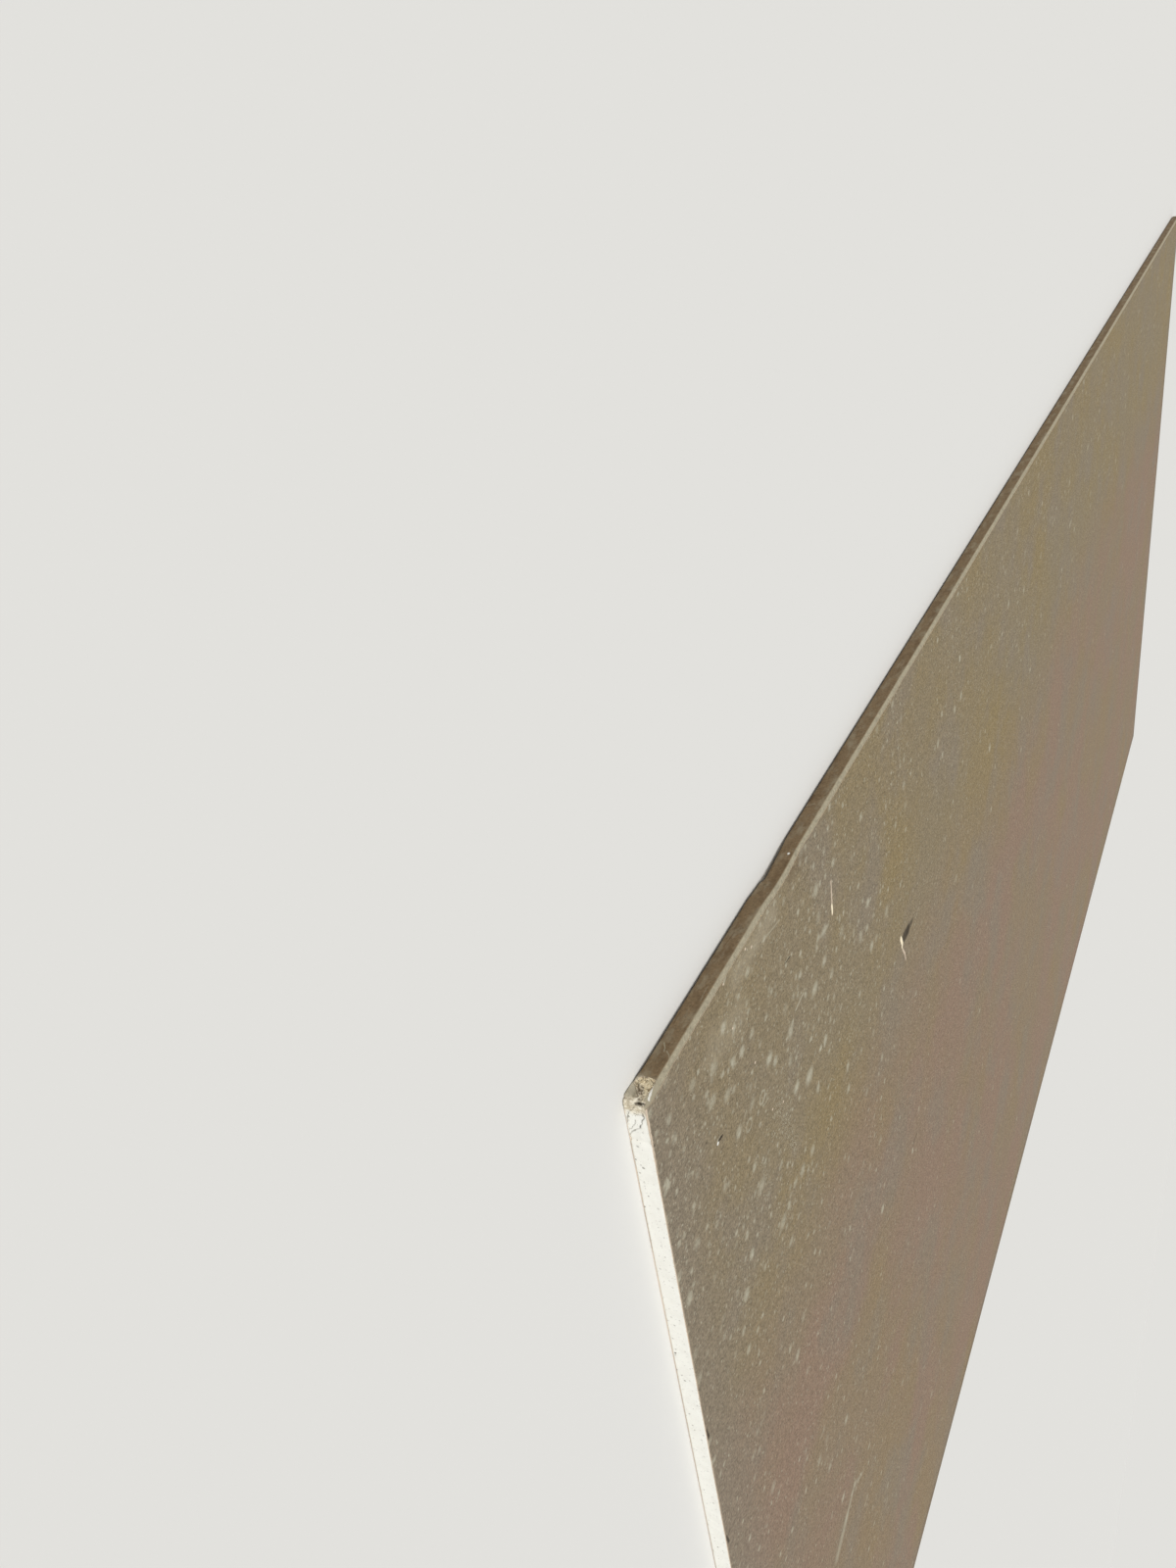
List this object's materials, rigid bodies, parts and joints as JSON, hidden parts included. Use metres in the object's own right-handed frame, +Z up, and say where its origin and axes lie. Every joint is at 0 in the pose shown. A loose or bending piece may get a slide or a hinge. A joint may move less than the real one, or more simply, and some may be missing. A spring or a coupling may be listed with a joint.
{
  "type": "drywall sheet",
  "caption": "Flat gypsum board with a white core, grey-brown face and back papers, tapered long edges wrapped in paper, bare cut ends and one crushed corner.",
  "frame": {"origin": "middle of the underside, which is the front face that the sheet lies on", "axes": "+X along the sheet from the crushed end to the other, +Y across it towards the damaged long edge, +Z up through the thickness towards the back face"},
  "size_m": [2.5, 1.2, 0.0125],
  "materials": {
    "gypsum": "cut plaster, chalky and finely pitted",
    "face_paper": "matte recycled paper, lighter where it is folded onto the back",
    "back_paper": "matte grey-brown recycled paper with pale fibre flecks along its length"
  },
  "bodies": {
    "root": {"gypsum_core": "gypsum", "face_paper": "face_paper", "back_paper": "back_paper"}
  },
  "joints": []
}
